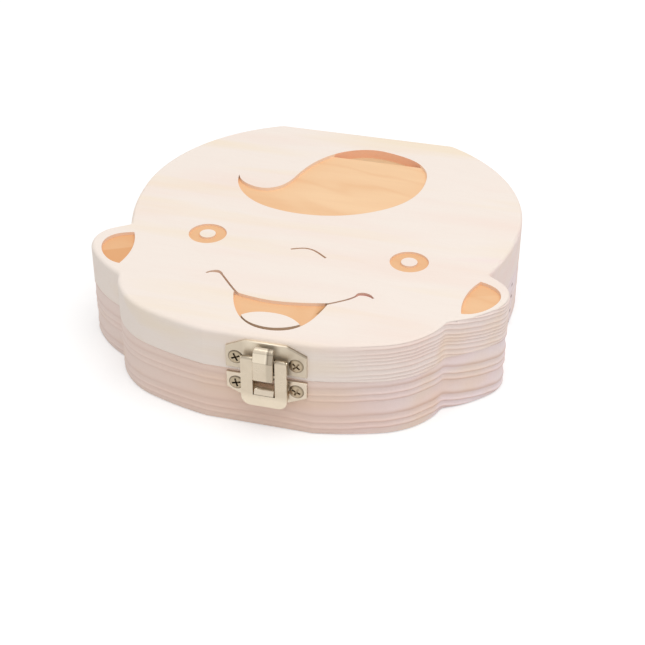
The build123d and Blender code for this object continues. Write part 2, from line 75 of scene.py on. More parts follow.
# Growth rings, which lie nearly level in both boards: bends of the rings as
# (height, wavelength along X, wavelength along Y, phase)
ring_bends = [
    (0.00090, 0.210, 0.090, 0.4),
    (0.00040, 0.088, 0.047, 1.9),
    (0.00012, 0.034, 0.021, 4.0),
    (0.00005, 0.013, 0.010, 2.2),
]
ring_bow_radius = 0.45
ring_skew = 0.7
relief_narrowness = 0.8
line_narrowness = 2.5
lid_rings = {
    "spacing": 0.00135,
    "relief": 0.00030,
    "front_share": 0.03,
    "swing": 0.25,
    "swing_length": 0.0071,
}
base_rings = {
    "spacing": 0.00310,
    "relief": 0.00042,
    "front_share": 0.45,
    "swing": 0.30,
    "swing_length": 0.0093,
}

# Right cheek and ear, where the rings stand out most
rough_x_range = (0.014, 0.044)
rough_y_range = (-0.0145, -0.021)

# Fineness of the walls, and where their relief dies out under the rounded edges
wall_column = 0.0015
wall_row = 0.00018
edge_fade = 0.0006
wall_tilt = 0.5
sharp_degrees = 40
weld_distance = 1e-7
sliver = 1e-5
face_weight = 100

# Wood colours
lid_colour = (0.95, 0.85, 0.77)
lid_late_colour = (0.74, 0.54, 0.46)
base_colour = (0.88, 0.68, 0.575)
base_side_colour = (0.93, 0.835, 0.81)
base_late_colour = (0.66, 0.45, 0.37)
yellow_tint = (1.0, 0.955, 0.83)
pink_tint = (1.0, 0.93, 0.91)
cheek_tint = (1.0, 0.955, 0.985)
seam_colour = (0.50, 0.36, 0.28)
spot_colour = (0.36, 0.26, 0.24)
carved_pale_colour = (0.96, 0.65, 0.39)
carved_orange_colour = (0.78, 0.38, 0.16)
hollow_floor_colour = (0.72, 0.53, 0.32)
hollow_wall_colour = (1.0, 0.60, 0.41)
hollow_shade_colour = (0.70, 0.36, 0.20)
# Painted shade in the mouth: in its right corner, along its right edge and in the groove under the
# tongue
wedge_colour = (0.45, 0.40, 0.23)
stroke_colour = (0.33, 0.18, 0.08)
tongue_line_colour = (0.52, 0.39, 0.27)
line_colour = (0.60, 0.46, 0.37)
nose_line_colour = (0.78, 0.58, 0.44)
tick_colour = (0.50, 0.12, 0.11)

# Fibres of all wood
fibre_scales = (90, 2600, 2600)
fibre_detail = 3.0
fibre_roughness = 0.6
wood_specular = 0.25

# Bare wood
side_from_x = 0.008
side_full_x = 0.050
left_side_share = 0.45
late_share = 0.60
yellow_clouds = {"scales": (9, 75, 75), "detail": 2.0, "range": (0.52, 0.72), "share": 0.9}
pink_clouds = {"scales": (14, 60, 110), "detail": 2.0, "range": (0.50, 0.75), "share": 0.8}
thread_range = (0.35, 0.75)
thread_share = 0.07
bare_roughness = 0.62
bare_grain_roughness = 0.08
late_polish = 0.12
bare_grain_depth = 0.00004
seam_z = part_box("lid_panel")[0].z
seam_reach = 0.00035
seam_share = 0.05
spot_y = 0.0070
spot_heights = (0.0141, 0.0100, 0.0048, 0.0004)
spot_radius = 0.0006
spot_reach_y = 0.0011
spot_from_x = 0.055

# Carving: how orange each part is, from 0 to 1
left_ear_tan = 0.55
right_ear_tan = 0.30
mouth_tan = 0.38
eye_tan = 0.45
hair_tan = 0.0
tip_tan = 0.30
# The mouth's right corner is also more orange under its painted shade
wedge_tan = 0.48
brow_tan = 0.16
lobe_tan = 0.30

# Carving: its depths, and where its parts and their darker places lie
line_deepest = 0.0009
line_shallowest = 0.0007
top_slack = 0.0001
hollow_carving = 0.0011
hollow_from_y = 0.0458
ear_from_x = 0.047
mouth_before_y = -0.0360
line_blur = 0.00015
tip_range = (-0.006, -0.030)
# Where the painted shade in the mouth lies: its right corner, a stroke along its right edge, and the
# groove under the tongue
wedge_range = (0.0112, 0.0128)
wedge_end_x = 0.0250
stroke_slope = 0.317
stroke_x = 0.0272
stroke_reach = 0.00055
stroke_low_y = -0.0466
stroke_high_y = -0.0408
tongue_before_y = -0.0527
hollow_shade_range = (0.018, 0.026)
brow_slope = 0.40
brow_y = -0.0470
lobe_slope = 0.546
lobe_y = 0.0013
lobe_blur = 0.0004
nose_from_y = -0.025
tick_range = (0.0185, 0.0200)

# Carving: how strong each of its colours is, and its finish
tan_clouds = {"scales": (25, 160, 160), "detail": 3.0, "range": (0.35, 0.7), "share": 0.18}
line_clouds = {"scales": (300, 300, 300), "detail": 3.0, "range": (0.3, 0.7), "share": 0.25}
carved_late_share = 0.18
# Painted light on the upright sides of the carving, towards the lid's colour
upright_light_share = 0.60
# Strength of the painted shade in the mouth
wedge_share = 0.15
stroke_share = 0.75
tongue_line_share = 0.75
hollow_floor_share = 0.85
hollow_shade_share = 0.6
hollow_wall_share = 0.9
carved_thread_range = (0.4, 0.8)
carved_thread_share = 0.05
tick_share = 0.8
carved_roughness = 0.6
carved_grain_roughness = 0.15
carved_grain_depth = 0.00005
line_roughness = 0.8
line_specular = 0.2

# Brass colours
brass_colour = (0.640, 0.550, 0.430)
catch_colour = (0.68, 0.585, 0.465)
# Colour of worn edges, and of the painted highlight and glint on the lever and of the paler tab of the
# loop
worn_edge_and_highlight_colour = (0.90, 0.80, 0.64)
dull_brass_colour = (0.50, 0.42, 0.31)
screw_colour = (0.45, 0.37, 0.26)
pale_screw_colour = (0.50, 0.40, 0.28)
# Colour of all painted shade on the brass: in crevices, along the lever's creases, flank and groove, on
# the loop's shoulders, along the plate's cut corner, under the nose and on the screws
brass_shade_colour = (0.10, 0.075, 0.05)
# Colour of the painted light behind the lever on the lid's latch plate
lit_patch_colour = (0.98, 0.87, 0.70)

# Brass of all pieces
brass_bevel = 0.00010
screw_bevel = 0.00005
bevel_segments = 2
bevel_profile = 0.5
latch_roughness = 0.30
plate_roughness = 0.45
plate_metallic = 0.75
screw_roughness = 0.34
# Painted shade in the crevices between pieces, from an occlusion node: its reach, samples and range, and
# its strength on most brass and on the lid's latch plate
crevice_reach = 0.0007
crevice_samples = 8
crevice_range = (0.66, 0.25)
deep_crevice_shade = 0.80
plate_crevice_shade = 0.15
patch_scales = (420, 420, 420)
patch_detail = 4.0
patch_roughness = 0.6
scratch_scales = (900, 5200, 5200)
dull_range = (0.5, 0.85)
dull_share = 0.30
worn_share = 0.5
rough_patch_range = (0.35, 0.75)
rough_patch_rise = 0.14
rough_scratch_range = (0.45, 0.7)
rough_scratch_rise = 0.06
clean_polish = 0.05
scratch_relief = 0.5
brass_relief_depth = 0.000012

# Lever: heights and widths as shares of its box, for its painted highlight above the bend and its
# painted glint, and for painted shade along its creases, on its right flank and in a groove
crease_shares = (0.617, 0.893)
crease_reach = 0.016
crease_shade = 0.25
crease_edge_range = (0.99, 0.90)
lean_highlight = 0.50
curl_highlight = 0.08
flank_range = (0.66, 0.74)
flank_shade = 0.22
lean_flank_shade = 0.42
glint_share = 0.655
glint_reach = 0.045
glint_highlight = 0.3
groove_share = 0.765
groove_shade = 0.25

# Loop: its tab paler towards the bottom, and painted shade on its shoulders
tab_range = (0.0135, 0.0115)
tab_paling = 0.45
shoulder_from = 0.0008
shoulder_full = 0.0002
shoulder_shade = 0.45

# Nose of the catch plate: painted shade on its lower part, and a painted shadow line along its lowest
# edge
nose_depth = 0.0016
nose_shade_range = (0.0136, 0.0131)
nose_shade = 0.32
nose_tip_range = (0.0124, 0.0121)
nose_shadow_line = 0.30

# Cut corner of the lid's latch plate, with painted shade along it, and a patch of painted light behind
# the lever that lifts the lever's shadow
cut_width = 0.0057
cut_drop = 0.0026
cut_dark_start = 0.00010
cut_dark_end = 0.00045
cut_dark = 0.55
lit_patch_reach = 0.0068
lit_patch_drop = 0.0050
lit_patch_strength = 0.80

# Screws: a painted shadow round the rim, heavier towards the upper right, and painted shade in the cross
# recess
rim_range = (0.78, 0.96)
rim_lean = 0.10
rim_lean_across = 0.8
rim_lean_up = 0.6
recess_depth = 0.00008
recess_share = 0.75
screw_dome_height = 0.00025
smudge_scales = (1400, 1400, 1400)
smudge_range = (0.35, 0.60)
cross_smudge = 0.60
right_cross_fade = 0.5
pale_screw_share = 0.7
screw_shade = 0.82
right_screw_fade = 0.30


# Numbers and colours that a material works out at each point

class Term:
    """A number in a material's nodes, which adds, multiplies and so on like any number."""

    def __init__(self, tree, socket):
        self.tree = tree
        self.socket = socket

    def made_with(self, operation, *others):
        """The result of a math node on this number and others."""
        node = self.tree.nodes.new("ShaderNodeMath")
        node.operation = operation
        for value, slot in zip((self, *others), node.inputs):
            if isinstance(value, Term):
                self.tree.links.new(value.socket, slot)
            else:
                slot.default_value = value
        return Term(self.tree, node.outputs[0])

    def __add__(self, other):
        return self.made_with("ADD", other)

    def __sub__(self, other):
        return self.made_with("SUBTRACT", other)

    def __rsub__(self, other):
        return self * -1 + other

    def __mul__(self, other):
        return self.made_with("MULTIPLY", other)

    def __truediv__(self, other):
        return self.made_with("DIVIDE", other)

    def __pow__(self, other):
        return self.made_with("POWER", other)

    def sine(self):
        """Its sine."""
        return self.made_with("SINE")

    def clamped(self):
        """The number kept between 0 and 1."""
        return self.made_with("MAXIMUM", 0).made_with("MINIMUM", 1)


def spread(term, start, full):
    """0 where a number is at start and 1 where it is at full, whichever of the two is higher."""
    return ((term - start) / (full - start)).clamped()


def close_to(number, place, reach):
    """1 where a number is at a place, falling to 0 at a distance of reach."""
    return (1 - ((number - place) / reach) ** 2).clamped()


def new_material(name):
    """An empty node material, with its tree and its shader."""
    material = bpy.data.materials.new(name)
    material.use_nodes = True
    return material, material.node_tree, material.node_tree.nodes["Principled BSDF"]


def place_in(tree):
    """The point on the piece, as a vector socket and as three numbers."""
    spot = tree.nodes.new("ShaderNodeTexCoord").outputs["Object"]
    parts = tree.nodes.new("ShaderNodeSeparateXYZ")
    tree.links.new(spot, parts.inputs[0])
    return spot, [Term(tree, socket) for socket in parts.outputs]


def attribute(tree, name):
    """A number kept on the mesh."""
    node = tree.nodes.new("ShaderNodeAttribute")
    node.attribute_name = name
    return Term(tree, node.outputs["Fac"])


def noise(tree, spot, scales, detail=2.0, roughness=0.5):
    """Cloudy number between 0 and 1, with its own scale along each axis."""
    mapping = tree.nodes.new("ShaderNodeMapping")
    mapping.inputs["Scale"].default_value = scales
    tree.links.new(spot, mapping.inputs["Vector"])
    cloud = tree.nodes.new("ShaderNodeTexNoise")
    cloud.inputs["Scale"].default_value = 1
    cloud.inputs["Detail"].default_value = detail
    cloud.inputs["Roughness"].default_value = roughness
    tree.links.new(mapping.outputs[0], cloud.inputs["Vector"])
    return Term(tree, cloud.outputs[0])


def clouds(tree, spot, kind):
    """Cloudy patches of a kind, as strong as its share."""
    cloud = noise(tree, spot, kind["scales"], kind["detail"])
    return spread(cloud, *kind["range"]) * kind["share"]


def blended(tree, first, second, share, blend="MIX"):
    """Colour between two, each a socket or a plain colour."""
    node = tree.nodes.new("ShaderNodeMix")
    node.data_type = "RGBA"
    node.blend_type = blend
    tree.links.new(share.socket, node.inputs["Factor"])
    colour_sockets = [s for s in node.inputs if s.type == "RGBA"]
    for value, socket in zip((first, second), colour_sockets):
        if isinstance(value, tuple):
            socket.default_value = (*value, 1)
        else:
            tree.links.new(value, socket)
    return next(s for s in node.outputs if s.type == "RGBA")


def layered(tree, colour, *layers):
    """A colour with others laid over it in turn, each with its share and perhaps its way to blend."""
    for layer in layers:
        colour = blended(tree, colour, *layer)
    return colour


def bump_from(tree, shader, height, depth):
    """Fine relief on the shader, as high as depth where height is 1."""
    bump = tree.nodes.new("ShaderNodeBump")
    bump.inputs["Distance"].default_value = depth
    tree.links.new(height.socket, bump.inputs["Height"])
    tree.links.new(bump.outputs[0], shader.inputs["Normal"])


# Camera and setting

def unit_back(azimuth, elevation):
    """Direction from the target to a camera at the given angles in degrees."""
    a, e = radians(azimuth), radians(elevation)
    return Vector((sin(a) * cos(e), -cos(a) * cos(e), sin(e)))


def make_camera():
    """Camera at the photograph's viewing angle."""
    data = bpy.data.cameras.new("camera")
    data.lens = camera_lens_mm
    data.sensor_width = camera_sensor_mm
    data.clip_start = camera_distance / camera_clip_factor
    data.clip_end = camera_distance * camera_clip_factor
    camera = bpy.data.objects.new("camera", data)
    bpy.context.scene.collection.objects.link(camera)
    back = unit_back(camera_azimuth, camera_elevation)
    camera.location = Vector(camera_target) + back * camera_distance
    camera.rotation_mode = "QUATERNION"
    roll = Quaternion((0, 0, 1), radians(camera_roll))
    camera.rotation_quaternion = (-back).to_track_quat("-Z", "Y") @ roll
    bpy.context.scene.camera = camera


def area_light(name, place, size, power):
    """Soft square lamp that looks at the box."""
    data = bpy.data.lights.new(name, "AREA")
    data.size = size
    data.energy = power
    lamp = bpy.data.objects.new(name, data)
    bpy.context.scene.collection.objects.link(lamp)
    lamp.location = place
    lamp.rotation_mode = "QUATERNION"
    lamp.rotation_quaternion = (Vector(camera_target) - Vector(place)).to_track_quat("-Z", "Y")


def seen_directly(tree):
    """1 for rays that show the setting itself: from the camera, in gloss and through glass."""
    rays = tree.nodes.new("ShaderNodeLightPath")
    total = Term(tree, rays.outputs["Is Camera Ray"])
    for name in ("Is Glossy Ray", "Is Transmission Ray"):
        total = total.made_with("MAXIMUM", Term(tree, rays.outputs[name]))
    return total


def make_world():
    """Plain pale sky that is seen as pure white."""
    world = bpy.data.worlds.new("studio")
    world.use_nodes = True
    tree = world.node_tree
    background = tree.nodes["Background"]
    background.inputs["Color"].default_value = (1, 1, 1, 1)
    strength = seen_directly(tree) * (1 - sky_strength) + sky_strength
    tree.links.new(strength.socket, background.inputs["Strength"])
    bpy.context.scene.world = world


def make_floor():
    """White floor that keeps the box's shadow."""
    mesh = bpy.data.meshes.new("floor")
    half = floor_size / 2
    corners = [(-half, -half), (half, -half), (half, half), (-half, half)]
    mesh.from_pydata([(x, y, -floor_drop) for x, y in corners], [], [(0, 1, 2, 3)])
    floor = bpy.data.objects.new("floor", mesh)
    bpy.context.scene.collection.objects.link(floor)
    material, tree, shader = new_material("floor_white")
    shader.inputs["Base Color"].default_value = (*floor_colour, 1)
    shader.inputs["Roughness"].default_value = floor_roughness
    shader.inputs["Specular IOR Level"].default_value = 0
    shader.inputs["Emission Color"].default_value = (1, 1, 1, 1)
    _, (x, y, _) = place_in(tree)
    far = spread((x ** 2 + y ** 2) ** 0.5, *floor_far_range)
    glow = (far * (floor_far_glow - floor_glow) + floor_glow) * seen_directly(tree)
    tree.links.new(glow.socket, shader.inputs["Emission Strength"])
    mesh.materials.append(material)


# Growth rings, worked out alike for meshes and for materials

def sine(value):
    """Sine of an array or of a material's number."""
    return value.sine() if isinstance(value, Term) else np.sin(value)


def ring_phase(rings, x, y, z):
    """How many growth rings lie below a point."""
    height = z - y * y / (2 * ring_bow_radius)
    for rise, along_x, along_y, phase in ring_bends:
        height = height + sine(x * (2 * pi / along_x) + y * (2 * pi / along_y) + phase) * rise
    swing = sine(height * (2 * pi / rings["swing_length"])) * rings["swing"]
    return height / rings["spacing"] + swing


def late_wood(phase, narrowness):
    """0 in the soft part of a ring, rising slowly to 1 in its hard line and dropping fast behind it."""
    turn = phase * (2 * pi)
    return ((sine(turn - sine(turn + pi / 2) * ring_skew) + 1) * 0.5) ** narrowness


def smoothstep(value, start, full):
    """Smooth rise of an array from 0 at start to 1 at full, whichever of the two is higher."""
    share = np.clip((value - start) / (full - start), 0, 1)
    return share * share * (3 - 2 * share)


def ring_strength(rings, x, y):
    """How far the rings stand out at a place of the plan, from 0 to 1."""
    cheek = smoothstep(x, *rough_x_range) * smoothstep(y, *rough_y_range)
    return rings["front_share"] + (1 - rings["front_share"]) * cheek


# Meshes

def mark_sharp(bm):
    """Marks the sharp edges of a mesh, and shades the rest smoothly."""
    for edge in bm.edges:
        edge.smooth = edge.calc_face_angle(pi) < radians(sharp_degrees)
    for face in bm.faces:
        face.smooth = True


def welded(node):
    """The node's mesh for editing, with its doubled points joined and its sharp edges marked."""
    bm = bmesh.new()
    bm.from_mesh(frame["nodes"][node].data)
    bmesh.ops.remove_doubles(bm, verts=bm.verts, dist=weld_distance)
    bm.normal_update()
    mark_sharp(bm)
    return bm


def linked_groups(faces, neighbours):
    """Lists of faces that are linked through the neighbours of each, in a fixed order."""
    seen = set()
    groups = []
    for start in faces:
        if start in seen:
            continue
        seen.add(start)
        group = [start]
        for face in group:
            for other in neighbours(face):
                if other not in seen:
                    seen.add(other)
                    group.append(other)
        groups.append(group)
    return groups


def smooth_neighbours(face):
    """The faces that meet a face without a sharp edge between them."""
    return [other for edge in face.edges if edge.smooth for other in edge.link_faces]


def touching_neighbours(face):
    """The faces that share a corner with a face."""
    return [other for vert in face.verts for other in vert.link_faces]


def in_order(parts):
    """Each part of a mesh once, in the order in which it first comes, so every run is the same."""
    return list(dict.fromkeys(parts))


def corners_of(faces):
    """Each corner of some faces once."""
    return in_order(vert for face in faces for vert in face.verts)


def sliced(bm, faces, cuts):
    """Cuts faces by parallel planes in order, and returns all the faces that they become."""
    if not cuts or not faces:
        return faces
    middle = len(cuts) // 2
    place, direction = cuts[middle]
    parts = list(faces)
    for face in faces:
        parts.extend(face.edges)
        parts.extend(face.verts)
    found = bmesh.ops.bisect_plane(
        bm, geom=in_order(parts), dist=weld_distance, plane_co=place, plane_no=direction
    )
    faces = [part for part in found["geom"] if isinstance(part, bmesh.types.BMFace)]
    sides = [(f.calc_center_median() - place).dot(direction) > 0 for f in faces]
    before = [f for f, beyond in zip(faces, sides) if not beyond]
    behind = [f for f, beyond in zip(faces, sides) if beyond]
    return sliced(bm, before, cuts[:middle]) + sliced(bm, behind, cuts[middle + 1:])


def cuts_along(axis, low, high, step):
    """Planes square to an axis, from low to high."""
    direction = Vector([float(i == axis) for i in range(3)])
    return [(direction * place, direction) for place in np.arange(low + step / 2, high, step)]


def outer_walls(bm, groups, low, high):
    """The upright faces of the outer wall between two heights."""
    edge = max(v.co.x for v in bm.verts)
    shell = next(
        group for group in groups
        if any(abs(vert.co.x - edge) < weld_distance for vert in corners_of(group))
    )
    return [
        face for face in shell
        if abs(face.normal.z) < wall_tilt and low < face.calc_center_median().z < high
    ]


def press_rings(bm, walls, rings, low, high):
    """Sets the soft wood of the walls back between the hard lines, and notes how far rings show."""
    layer = bm.verts.layers.float.new("ridge")
    wall = bm.verts.layers.float.new("wall")
    for vert in bm.verts:
        vert[layer] = rings["front_share"]
    verts = corners_of(walls)
    x, y, z = np.array([v.co for v in verts]).T
    strength = ring_strength(rings, x, y)
    fade = smoothstep(z, low, low + edge_fade) * smoothstep(z, high, high - edge_fade)
    soft = 1 - late_wood(ring_phase(rings, x, y, z), relief_narrowness)
    depth = rings["relief"] * strength * fade * soft
    for vert, back, shown in zip(verts, depth, strength):
        outward = Vector((vert.normal.x, vert.normal.y, 0)).normalized()
        vert.co -= outward * back
        vert[layer] = shown
        vert[wall] = 1


def finished_piece(name, bm, node, materials):
    """Puts an edited mesh in the scene in place of its node, on the node's body."""
    mesh = bpy.data.meshes.new(name)
    bm.to_mesh(mesh)
    bm.free()
    for material in materials:
        mesh.materials.append(material)
    piece = bpy.data.objects.new(name, mesh)
    bpy.context.scene.collection.objects.link(piece)
    even = piece.modifiers.new("even_shading", "WEIGHTED_NORMAL")
    even.keep_sharp = True
    even.weight = face_weight
    bodies = frame["record"]["behaviour"]["bodies"]
    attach(piece, next(body for body in bodies if node in bodies[body]))
    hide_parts(node)
    return piece


def face_numbers(mesh, *names):
    """New numbers kept on each face of a mesh, made all at once because making one moves the others."""
    for name in names:
        mesh.attributes.new(name, "FLOAT", "FACE")
    return [mesh.attributes[name].data for name in names]


# Wood materials

def fibres(tree, spot):
    """Fine threads of the wood along X."""
    return noise(tree, spot, fibre_scales, fibre_detail, fibre_roughness)


def finish_wood(tree, shader, colour, roughness, grain, depth):
    """Gives a wood its colour, its roughness and the fine relief of its fibres."""
    tree.links.new(colour, shader.inputs["Base Color"])
    tree.links.new(roughness.socket, shader.inputs["Roughness"])
    shader.inputs["Specular IOR Level"].default_value = wood_specular
    bump_from(tree, shader, grain, depth)


def skull_spots(y, z):
    """1 in the row of small dark spots one above the other on the right of the skull."""
    spots = close_to(z, spot_heights[0], spot_radius)
    for height in spot_heights[1:]:
        spots = spots + close_to(z, height, spot_radius)
    return spots * close_to(y, spot_y, spot_reach_y)


def bare_wood(name, rings, colour, side_colour, late_colour):
    """Sanded softwood with growth rings, fibres and faint yellow and pink streaks."""
    material, tree, shader = new_material(name)
    spot, (x, y, z) = place_in(tree)
    late = late_wood(ring_phase(rings, x, y, z), line_narrowness) * attribute(tree, "ridge")
    wall = attribute(tree, "wall")
    grain = fibres(tree, spot)
    right = spread(x, side_from_x, side_full_x)
    left = spread(x, -side_from_x, -side_full_x)
    tinted = layered(
        tree,
        colour,
        (side_colour, (right + left * left_side_share).clamped()),
        (cheek_tint, right * wall, "MULTIPLY"),
        (late_colour, late * late_share),
        (yellow_tint, clouds(tree, spot, yellow_clouds), "MULTIPLY"),
        (pink_tint, clouds(tree, spot, pink_clouds), "MULTIPLY"),
        (late_colour, spread(grain, *thread_range) * thread_share),
        (seam_colour, close_to(z, seam_z, seam_reach) * wall * seam_share),
        (spot_colour, skull_spots(y, z) * spread(x, side_full_x, spot_from_x)),
    )
    shine = grain * bare_grain_roughness - late * late_polish + bare_roughness
    finish_wood(tree, shader, tinted, shine, grain, bare_grain_depth)
    return material


def mouth_wedge(x, y):
    """1 in the wedge of painted shade at the mouth's right corner."""
    across = spread(x, *wedge_range) * spread(x, wedge_end_x + edge_fade, wedge_end_x)
    return across * spread(y, mouth_before_y, mouth_before_y - edge_fade)


def mouth_stroke(x, y):
    """1 in the painted shadow along the mouth's right edge."""
    ends = spread(y, stroke_low_y, stroke_low_y + edge_fade)
    ends = ends * spread(y, stroke_high_y, stroke_high_y - edge_fade)
    return close_to(x - y * stroke_slope, stroke_x, stroke_reach) * ends


def ear_brow(x, y):
    """1 in the darker back of the right ear's carving."""
    behind = spread(y - x * brow_slope, brow_y - line_blur, brow_y + line_blur)
    return behind * spread(x, ear_from_x, ear_from_x + edge_fade)


def ear_lobe(x, y):
    """1 in the darker front of the left ear's carving."""
    before = spread(y - x * lobe_slope, lobe_y + lobe_blur, lobe_y - lobe_blur)
    return before * spread(x, -ear_from_x, -ear_from_x - edge_fade)


def carved_wood(name):
    """Fresh tan wood at the bottom of the carving, with painted light on its upright sides and painted
    shade in the mouth's right corner, along its right edge and under the tongue.
    """
    material, tree, shader = new_material(name)
    spot, (x, y, z) = place_in(tree)
    grain = fibres(tree, spot)
    late = late_wood(ring_phase(lid_rings, x, y, z), line_narrowness)
    wedge = mouth_wedge(x, y)
    # Painted shade in the groove under the tongue
    under_tongue = spread(y, tongue_before_y, tongue_before_y - line_blur)
    tan = attribute(tree, "tan") + spread(x, *tip_range) * spread(y, 0, edge_fade) * tip_tan
    tan = tan + wedge * wedge_tan + ear_brow(x, y) * brow_tan + ear_lobe(x, y) * lobe_tan
    shaded = spread(x, *hollow_shade_range) * hollow_shade_share
    wall_colour = blended(tree, hollow_wall_colour, hollow_shade_colour, shaded)
    tinted = layered(
        tree,
        carved_pale_colour,
        (carved_orange_colour, tan.clamped()),
        (carved_orange_colour, clouds(tree, spot, tan_clouds)),
        (carved_orange_colour, late * carved_late_share),
        # Painted light on the upright sides of the carving
        (lid_colour, attribute(tree, "upright") * upright_light_share),
        # Painted shade in the mouth's right corner, along its right edge and under the tongue
        (wedge_colour, wedge * wedge_share),
        (stroke_colour, mouth_stroke(x, y) * stroke_share),
        (tongue_line_colour, under_tongue * tongue_line_share),
        (hollow_floor_colour, attribute(tree, "hollow_floor") * hollow_floor_share),
        (wall_colour, attribute(tree, "hollow_wall") * hollow_wall_share),
        (line_colour, spread(grain, *carved_thread_range) * carved_thread_share),
    )
    shine = grain * carved_grain_roughness + carved_roughness
    finish_wood(tree, shader, tinted, shine, grain, carved_grain_depth)
    return material


def burnt_line():
    """Brown of the thin carved lines."""
    material, tree, shader = new_material("burnt_line")
    spot, (x, y, _) = place_in(tree)
    tinted = layered(
        tree,
        line_colour,
        (carved_orange_colour, clouds(tree, spot, line_clouds)),
        (nose_line_colour, spread(y, nose_from_y, nose_from_y + edge_fade)),
        (tick_colour, spread(x, *tick_range) * tick_share),
    )
    tree.links.new(tinted, shader.inputs["Base Color"])
    shader.inputs["Roughness"].default_value = line_roughness
    shader.inputs["Specular IOR Level"].default_value = line_specular
    return material


# Lid and base

def sort_lid_face(group, low, high):
    """0 for the bare wood, 1 for the carving and 2 for the thin lines."""
    lowest = min(v.co.z for f in group for v in f.verts)
    if lowest > high.z - top_slack or lowest < low.z + (high.z - low.z) / 2:
        return 0
    return 2 if line_shallowest < high.z - lowest < line_deepest else 1


def sort_base_face(group, low, high):
    """0 for the bare wood and 1 for the wells and compartments."""
    lowest = min(v.co.z for f in group for v in f.verts)
    return 1 if low.z + top_slack < lowest < high.z - top_slack else 0


def wood_piece(name, node, rings, materials, sort_face):
    """A wooden node with fine walls, whose rings stand out, and with its faces sorted by material."""
    low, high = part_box(node)
    bm = welded(node)
    groups = linked_groups(bm.faces, smooth_neighbours)
    for group in groups:
        index = sort_face(group, low, high)
        for face in group:
            face.material_index = index
    walls = outer_walls(bm, groups, low.z, high.z)
    walls = sliced(bm, walls, cuts_along(0, low.x, high.x, wall_column))
    walls = sliced(bm, walls, cuts_along(1, low.y, high.y, wall_column))
    heights = [vert.co.z for vert in corners_of(walls)]
    bottom, top = min(heights), max(heights)
    walls = sliced(bm, walls, cuts_along(2, bottom, top, wall_row))
    bmesh.ops.remove_doubles(bm, verts=corners_of(walls), dist=sliver)
    walls = [f for f in walls if f.is_valid]
    bm.normal_update()
    press_rings(bm, walls, rings, bottom, top)
    return finished_piece(name, bm, node, materials)


def carving_tan(centre):
    """How orange the carving is at a place of the lid."""
    if abs(centre.x) > ear_from_x:
        return left_ear_tan if centre.x < 0 else right_ear_tan
    if centre.y > 0:
        return hair_tan
    return mouth_tan if centre.y < mouth_before_y else eye_tan


def mark_carving(piece):
    """Keeps on each face of the lid how orange it is, and which part of the carving it belongs to."""
    mesh = piece.data
    tan, upright, hollow_floor, hollow_wall = face_numbers(
        mesh, "tan", "upright", "hollow_floor", "hollow_wall"
    )
    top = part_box("lid_panel")[1].z
    for face in mesh.polygons:
        steep = abs(face.normal.z) < wall_tilt
        deep = face.center.z < top - hollow_carving
        behind = deep or face.center.y > hollow_from_y
        tan[face.index].value = carving_tan(face.center)
        upright[face.index].value = float(steep and not behind)
        hollow_floor[face.index].value = float(deep and not steep)
        hollow_wall[face.index].value = float(steep and behind)


def make_lid():
    """Lid with its carved face."""
    materials = [
        bare_wood("lid_wood", lid_rings, lid_colour, lid_colour, lid_late_colour),
        carved_wood("carved_wood"),
        burnt_line(),
    ]
    mark_carving(wood_piece("lid_wood", "lid_panel", lid_rings, materials, sort_lid_face))


def make_base():
    """Base with the wells."""
    materials = [
        bare_wood("base_wood", base_rings, base_colour, base_side_colour, base_late_colour),
        bare_wood("well_wood", base_rings, lid_colour, lid_colour, base_late_colour),
    ]
    wood_piece("base_wood", "base_tray", base_rings, materials, sort_base_face)


# Brass

def crevices(tree):
    """1 deep in a gap between pieces and 0 in the open, for painted shade in the crevices."""
    node = tree.nodes.new("ShaderNodeAmbientOcclusion")
    node.samples = crevice_samples
    node.inputs["Distance"].default_value = crevice_reach
    return spread(Term(tree, node.outputs["AO"]), *crevice_range)


def brass(name, colour, roughness, crevice_shade):
    """Pale plated brass with scratches, dull patches, worn edges and painted shade in its crevices, with
    its tree and its shader.
    """
    material, tree, shader = new_material(name)
    spot, _ = place_in(tree)
    patch = noise(tree, spot, patch_scales, patch_detail, patch_roughness)
    scratch = noise(tree, spot, scratch_scales)
    tinted = layered(
        tree,
        colour,
        (dull_brass_colour, spread(patch, *dull_range) * dull_share),
        (worn_edge_and_highlight_colour, attribute(tree, "worn") * worn_share),
        (brass_shade_colour, crevices(tree) * crevice_shade),
    )
    tree.links.new(tinted, shader.inputs["Base Color"])
    shader.inputs["Metallic"].default_value = 1
    dull = spread(patch, *rough_patch_range) * rough_patch_rise
    dull = dull + spread(scratch, *rough_scratch_range) * rough_scratch_rise
    dull = dull + (roughness - clean_polish)
    tree.links.new(dull.socket, shader.inputs["Roughness"])
    bump_from(tree, shader, scratch * scratch_relief + patch, brass_relief_depth)
    return material, tree, shader


def repaint(tree, shader, *layers):
    """Lays more colours over a material's own."""
    plain = shader.inputs["Base Color"].links[0].from_socket
    tree.links.new(layered(tree, plain, *layers), shader.inputs["Base Color"])


